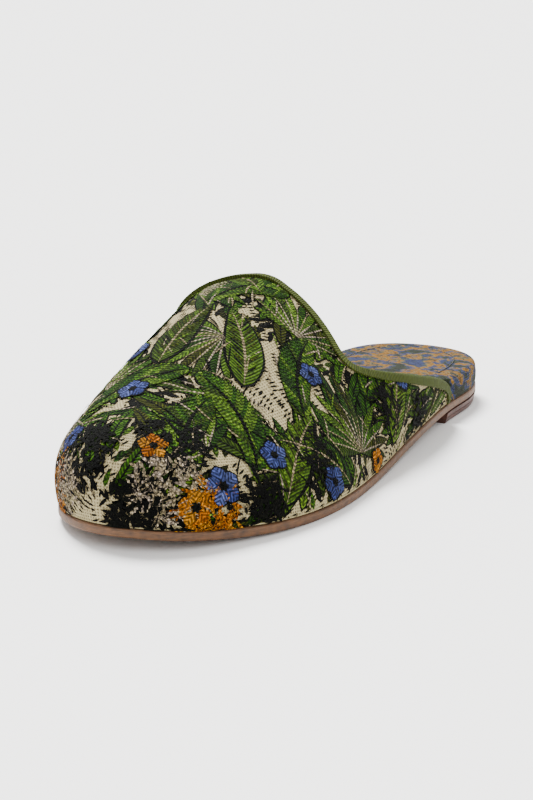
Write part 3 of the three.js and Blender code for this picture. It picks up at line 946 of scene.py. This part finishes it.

# Embroidery thread lies in slanting stitches, drawn 1.5 mm apart where real ones are a third of that, so that
# they show. Each stitch has its own tone, and the furrow between two is painted darker, as painted shade.
stitch_pitch = 1.5
thread_material, tree = new_material("satin_stitch_thread", 0.8, specular=0.06)
where = thread_coordinates(tree)
along = add_node(tree, "SeparateXYZ", [where], output="X")
across = add_node(tree, "SeparateXYZ", [where], output="Y")
off_middle = add_node(tree, "Math", [across], operation="ABSOLUTE")
slant = add_node(tree, "Math", [along, off_middle], operation="SUBTRACT")
furrow = wave(tree, slant, stitch_pitch)
count = add_node(tree, "Math", [slant, stitch_pitch], operation="DIVIDE")
stitch = add_node(tree, "Math", [count], operation="FLOOR")
own_tone = add_node(tree, "TexWhiteNoise", {"W": stitch}, noise_dimensions="1D")
speckle = add_node(tree, "TexNoise", {"Vector": where, "Scale": 0.9, "Detail": 3.0})
contrast = add_node(tree, "Math", [speckle, 2.4, -0.24 * 2.4], operation="MULTIPLY_ADD")
light = add_node(tree, "Math", [contrast, 0.2], operation="MAXIMUM")
# Each stitch's own tone, then the furrow between stitches as painted shade, darken the colour.
for factor, least in ((own_tone, 0.4), (furrow, 0.2)):
    raised = add_node(tree, "Math", [factor, 1 - least, least], operation="MULTIPLY_ADD")
    light = add_node(tree, "Math", [light, raised], operation="MULTIPLY")
tint = add_node(tree, "Attribute", attribute_name="tint")
lit_tint = add_node(tree, "VectorMath", {0: tint, "Scale": light}, operation="SCALE")
colour_and_bump(tree, lit_tint, furrow, 0.35)


def open_edge(wall):
    """A wall's points along its open edge, from the lateral back end over the tongue to the medial one."""
    return np.concatenate([wall[: collar_strips + 1, -1], wall[-collar_strips:, -1]])


# The needlework ends under the binding and just over the sole.
seam_lines = [
    # points of the line, how far the needlework keeps from it
    (open_edge(wall_outer), 2.6),
    (wall_outer[:, 0], 0.7),
]


def trimmed(work):
    """The faces of a piece of needlework without those that reach a seam."""
    middles = np.array(work.points)[np.array(work.faces)].mean(axis=1)
    kept = np.ones(len(middles), bool)
    for line, reach in seam_lines:
        tree_of_line = KDTree(len(line))
        for i, point in enumerate(place(line)):
            tree_of_line.insert(point, i)
        tree_of_line.balance()
        kept &= np.array([tree_of_line.find(middle)[2] > reach for middle in middles])
    return [face for face, keep in zip(work.faces, kept) if keep]


for name, work in {
    "needlework_undergrowth": undergrowth,
    "needlework_long_leaves": long_leaves,
    "needlework_palm_fans": palm_fans,
    "needlework_fronds": fronds,
    "needlework_banana_leaves": banana_leaves,
    "needlework_flowers": flowers,
    "needlework_tufts": tufts,
    "needlework_strokes": strokes,
}.items():
    sewn = make_piece(name, work.points, trimmed(work), thread_material, thread=work.thread, tints=work.tints)

# Binding
# A grosgrain ribbon folded over the upper's open edge and sewn down, from one back end over the tongue to
# the other. It is matt, and its ribs are drawn 0.9 mm apart, a little coarser than they are, with painted
# shade in the troughs between them.
binding_reach = 2.2
binding_roll = 1.8
binding_leg = 2.3
binding_gap = 0.55
binding_sides = 18
leg_lean = 0.97
ribbon_width = 12
rib_pitch = 0.9
rim_smoothing = 5


def rim_line(wall):
    """The open edge of one face of the wall, eased so that the ribbon has no kink at the tongue's tip."""
    line = open_edge(wall)
    eased = line.copy()
    for k in range(rim_smoothing, len(line) - rim_smoothing):
        eased[k] = line[k - rim_smoothing : k + rim_smoothing + 1].mean(axis=0)
    return eased


rim_outer = rim_line(wall_outer)
rim_inner = rim_line(wall_inner)
rim_middle = (rim_outer + rim_inner) / 2
rim_across = unit(rim_outer - rim_inner)
rim_along = unit(np.gradient(rim_outer, axis=0))
rim_away = unit(np.cross(rim_across, rim_along))
ribbon_run = run_along(rim_middle)

# The fold is fuller on the inner side of the tongue, where the cloth bends away from under it.
fuller_by = 1.0
fuller_from = -8
fuller_over = 62
past_tip = (ribbon_run - ribbon_run[collar_strips] - fuller_from) / fuller_over
fuller = fuller_by * np.sin(math.pi * np.clip(past_tip, 0, 1)) ** 0.6


def fold(reach, roll, fuller):
    """A ribbon folded over the edge: straight down one face, half round over it, and down the other."""
    turns = np.linspace(0, math.pi, binding_sides + 1)
    side_steps = np.concatenate([[reach * leg_lean], reach * np.cos(turns), [-reach * leg_lean]])
    up_steps = np.concatenate([[-binding_leg], roll * np.sin(turns), [-binding_leg]])
    side_steps = side_steps + fuller[:, None] * np.clip(side_steps / reach, 0, 1)
    across = rim_across[:, None] * side_steps[..., None]
    away = rim_away[:, None] * up_steps[None, :, None]
    return rim_middle[:, None] + across + away


ribbon_outer = fold(binding_reach, binding_roll, fuller)
ribbon_inner = fold(wall_thick / 2 + binding_gap, binding_gap, 0 * fuller)
ribbon_rings = np.concatenate([ribbon_outer, ribbon_inner[:, ::-1]], axis=1)
around = np.linspace(0, ribbon_width, ribbon_rings.shape[1])
ribbon_thread = np.stack([np.repeat(ribbon_run, len(around)), np.tile(around, len(ribbon_run))], -1)
binding_ribbon, tree = new_material("olive_grosgrain_ribbon", 0.8, specular=0.15)
where = thread_coordinates(tree)
ribs = wave(tree, add_node(tree, "SeparateXYZ", [where], output="X"), rib_pitch)
fleck = add_node(tree, "TexNoise", {"Vector": where, "Scale": 0.7, "Detail": 3.0})
flecked = add_node(tree, "Math", [fleck, 0.7], operation="MULTIPLY")
# The ribs' height darkens the colour between them as painted shade; the flecks are the ribbon's own.
flecks_and_thread_shade = add_node(tree, "Math", [ribs, 0.4, flecked], operation="MULTIPLY_ADD")
ribbon_tones = [(0.15, "#151c04"), (0.85, "#434d0e")]
colour_and_bump(tree, add_node(tree, "ValToRGB", [flecks_and_thread_shade], stops=ribbon_tones), ribs, 0.3)
binding = make_piece("binding_ribbon", *ring_solid(place(ribbon_rings)), binding_ribbon, thread=ribbon_thread)
close_solid(binding)
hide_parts("binding")

# Footbed
# A padded board covered in soft printed cloth and glued down: thick at the heel, where its side shows as a
# band over the sole, and inside the upper further on. A line of stitches runs a little inside its back edge.
footbed_heel_inset = 0.3
footbed_wall_gap = 0.8
footbed_rounding = 2.4
footbed_crown = 1.3
footbed_step_start = 52
footbed_step_end = 56.5
binding_clear_end = 68
band_puff = 0.35
band_points = 4
shoulder_points = 8
top_columns = 38

# Cross-sections are closest over the step, where the edge goes from the sole's outline to inside the wall.
section_keys = [0, 109, 120, 269]
key_turns = [0, turn_at(footbed_step_start), turn_at(footbed_step_end), math.pi]
footbed_turns = np.interp(np.arange(section_keys[-1] + 1), section_keys, key_turns)


def footbed_thick(at):
    share = ease((at - heel_length) / (waist_break - heel_length))
    return mix(footbed_heel_thick, footbed_ball_thick, share)


def footbed_edge(side, turn, up):
    """The footbed's edge: round the heel the sole's own outline, further on the inside of the wall."""
    at = at_turn(turn)
    heel_x, heel_y = inset_edge(side, turn, footbed_heel_inset)
    share = ease((at - footbed_step_start) / (footbed_step_end - footbed_step_start))
    wall = last_point(side, turn, rib_at_height(side, at, up))
    nx, ny = edge_normal(side, turn)
    beside_binding = np.where(at < binding_clear_end, binding_reach - wall_thick / 2 + fit, 0)
    inset = wall_thick + footbed_wall_gap + beside_binding
    return mix(heel_x, wall[..., 0] - nx * inset, share), mix(heel_y, wall[..., 1] - ny * inset, share)


def footbed_side(side):
    """Rings' points on one side, from the foot of the band, which puffs out, up over the rounding."""
    at = at_turn(footbed_turns)
    low = sole_top(at) + fit
    shoulder = low + footbed_thick(at) - footbed_rounding
    nx, ny = edge_normal(side, footbed_turns)
    points = []
    for share in np.linspace(0, 1, band_points):
        up = mix(low, shoulder, share)
        x, y = footbed_edge(side, footbed_turns, up)
        puff = np.where(at < footbed_step_start, band_puff * math.sin(math.pi * share), 0)
        points.append((x + nx * puff, y + ny * puff, up))
    for bend in np.linspace(0, math.pi / 2, shoulder_points)[1:]:
        back = footbed_rounding * (1 - math.cos(bend))
        points.append((x - nx * back, y - ny * back, shoulder + footbed_rounding * math.sin(bend)))
    return np.stack([np.stack(point, -1) for point in points], 1)


lateral_side, medial_side = footbed_side(1), footbed_side(-1)
top_share = np.linspace(0, 1, top_columns)[1:-1][None, :, None]
footbed_top = mix(lateral_side[:, -1:], medial_side[:, -1:], top_share)
footbed_top[..., 2] += footbed_crown * np.sin(footbed_turns)[:, None] * (1 - (2 * top_share[..., 0] - 1) ** 2)

# The furrow that the stitches pull into the padding, and a soft hollow where the heel of the foot rests
stitch_line_inset = 9.0
stitch_line_end = 46
furrow_depth = 0.55
furrow_reach = 1.1
seat_middle = np.array([1.0, 34.0])
seat_depth = 0.7
seat_reach = 17
line_turns = np.linspace(0.02, turn_at(stitch_line_end), 160)
line_halves = [np.stack(inset_edge(side, line_turns, stitch_line_inset), -1) for side in (1, -1)]
stitch_line = np.concatenate([line_halves[0][::-1], line_halves[1]])
stitch_line = stitch_line[stitch_line[:, 1] > stitch_line_inset * 0.8]
from_line = np.linalg.norm(footbed_top[..., None, :2] - stitch_line, axis=-1).min(-1)
from_seat = np.linalg.norm(footbed_top[..., :2] - seat_middle, axis=-1)
footbed_top[..., 2] -= furrow_depth * np.exp(-((from_line / furrow_reach) ** 2))
footbed_top[..., 2] -= seat_depth * np.exp(-((from_seat / seat_reach) ** 2))
footbed_rings = np.concatenate([lateral_side, footbed_top, medial_side[:, ::-1]], axis=1)

# Matt cloth printed in soft blots with thin dark veins. Its threads are drawn twice as coarse as real ones,
# with painted shade between them.
footbed_pitch = 0.9
footbed_cloth, tree = new_material("printed_footbed_cloth", 0.88, specular=0.2)
where = in_millimetres(tree)
stretched = add_node(tree, "Mapping", {"Vector": where, "Scale": (0.8, 1.0, 1.0)})
blots = add_node(tree, "TexNoise", {"Vector": stretched, "Scale": 0.1, "Detail": 4.0, "Roughness": 0.6})
print_tones = [
    (0.4, "#222a17"), (0.44, "#3a4428"), (0.455, "#2f3862"), (0.485, "#343d68"), (0.495, "#7d7150"),
    (0.515, "#8f620a"), (0.555, "#94640c"), (0.57, "#7d7150"), (0.59, "#3f4a2c"), (0.63, "#2f3862"),
]
vein_tones = [(0.47, "#ffffff"), (0.495, "#3c3c3c"), (0.52, "#ffffff")]
threads = weave(tree, where, footbed_pitch)
band_threads = wave(tree, add_node(tree, "SeparateXYZ", [where], output="Z"), footbed_pitch)
height = add_node(tree, "Math", [threads, band_threads], operation="ADD")
veins = add_node(tree, "TexNoise", {"Vector": where, "Scale": 0.22, "Detail": 2.0})
speckle = add_node(tree, "TexNoise", {"Vector": where, "Scale": 0.9, "Detail": 2.0})
light = add_node(tree, "Math", [speckle, 0.9, 0.08], operation="MULTIPLY_ADD")
# Painted shade: the colour is darker between the threads of the weave.
thread_light = add_node(tree, "Math", [threads, 0.25, 0.75], operation="MULTIPLY_ADD")
for factor in (thread_light, add_node(tree, "ValToRGB", [veins], stops=vein_tones)):
    light = add_node(tree, "Math", [light, factor], operation="MULTIPLY")
print_colour = add_node(tree, "ValToRGB", [blots], stops=print_tones)
lit_print = add_node(tree, "VectorMath", {0: print_colour, "Scale": light}, operation="SCALE")
colour_and_bump(tree, lit_print, height, 0.2)
footbed_mesh = ring_solid(place(footbed_rings), flat_start=False, flat_end=False)
footbed = make_piece("footbed_cloth", *footbed_mesh, footbed_cloth)
close_solid(footbed)
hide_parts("footbed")

# The stitches themselves: short dark threads of waxed cotton, half matt, that lie in the furrow
stitch_length = 2.2
stitch_gap = 0.4
stitch_radius = 0.3
stitch_lift = 0.12
stitch_rings = 5
stitch_sides = 6
over_footbed = 60
stitch_thread = new_material("dark_sewing_thread", 0.6, "#191810")[0]
footbed_tree = BVHTree.FromObject(footbed, bpy.context.evaluated_depsgraph_get())
line_place = place(np.pad(stitch_line, ((0, 0), (0, 1))))
line_run = run_along(line_place)


def on_line(run):
    """A place on the line of stitches, seen from above, by its distance from the line's start."""
    return np.array([np.interp(run, line_run, line_place[:, axis]) for axis in (0, 1)])


stitch_points, stitch_faces = [], []
for start in np.arange(0, line_run[-1] - stitch_length, stitch_length + stitch_gap):
    stitch_faces += grid_faces(stitch_rings, stitch_sides, closed=True, first=len(stitch_points))
    for share in np.linspace(0, 1, stitch_rings):
        x, y = on_line(start + share * stitch_length)
        along = unit(on_line(start + share * stitch_length + 0.1) - (x, y))
        hit = footbed_tree.ray_cast(Vector((x, y, over_footbed)) * metre, Vector((0, 0, -1)))[0] / metre
        radius = stitch_radius * (0.35 + 0.65 * math.sin(math.pi * share))
        for turn in np.linspace(0, 2 * math.pi, stitch_sides + 1)[:-1]:
            beside = radius * math.cos(turn)
            up = hit.z + stitch_lift + radius * math.sin(turn)
            stitch_points.append((x - along[1] * beside, y + along[0] * beside, up))
stitches = make_piece("footbed_stitches", stitch_points, stitch_faces, stitch_thread)

# Floor, light and camera
# A floor of matt pale paper, a soft key light from high behind and a weak fill light from the front. The
# camera stands where it stood for the photograph, turned and zoomed in to the one shoe.
floor_reach = 30.0
floor_corners = [(x * floor_reach, y * floor_reach, 0) for x, y in ((-1, -1), (1, -1), (1, 1), (-1, 1))]
floor_mesh = bpy.data.meshes.new("floor")
floor_mesh.from_pydata(floor_corners, [], [(0, 1, 2, 3)])
floor_mesh.materials.append(new_material("pale_floor_paper", 0.85, "#fbfaf8")[0])
floor = bpy.data.objects.new("floor", floor_mesh)
bpy.context.collection.objects.link(floor)

# The camera sees the room brighter than it shines, as bright as the lit floor, so that no horizon shows.
room_light = 1.42
backdrop_lift = 2.7
world = bpy.data.worlds.new("studio")
world.use_nodes = True
room = world.node_tree
backdrop = room.nodes["Background"].inputs
backdrop["Color"].default_value = linear("#f2f2f2")
seen = add_node(room, "LightPath", output="Is Camera Ray")
lifted = add_node(room, "Math", [seen, backdrop_lift, room_light], operation="MULTIPLY_ADD")
room.links.new(lifted, backdrop["Strength"])
bpy.context.scene.world = world

light_rows = [
    # name, direction towards the lamp, softness in degrees, strength
    ("key_light", (-0.5, 0.35, 1.1), 23, 9.4),
    ("fill_light", (0.9, -0.7, 0.9), 40, 0.45),
]
for name, direction, softness, strength in light_rows:
    lamp = bpy.data.lights.new(name, "SUN")
    lamp.angle = math.radians(softness)
    lamp.energy = strength
    stand = bpy.data.objects.new(name, lamp)
    stand.rotation_euler = Vector(direction).to_track_quat("Z", "Y").to_euler()
    bpy.context.collection.objects.link(stand)

camera_aim = Vector((-0.0095, -0.005, 0.021))
camera_data = bpy.data.cameras.new("photo_camera")
camera_data.lens = 92.0
camera_data.clip_start = 0.01
camera_data.clip_end = 100.0
camera = bpy.data.objects.new("photo_camera", camera_data)
camera.location = (0.3223, -0.64934, 0.207)
camera.rotation_euler = (camera_aim - camera.location).to_track_quat("-Z", "Y").to_euler()
bpy.context.collection.objects.link(camera)
bpy.context.scene.camera = camera
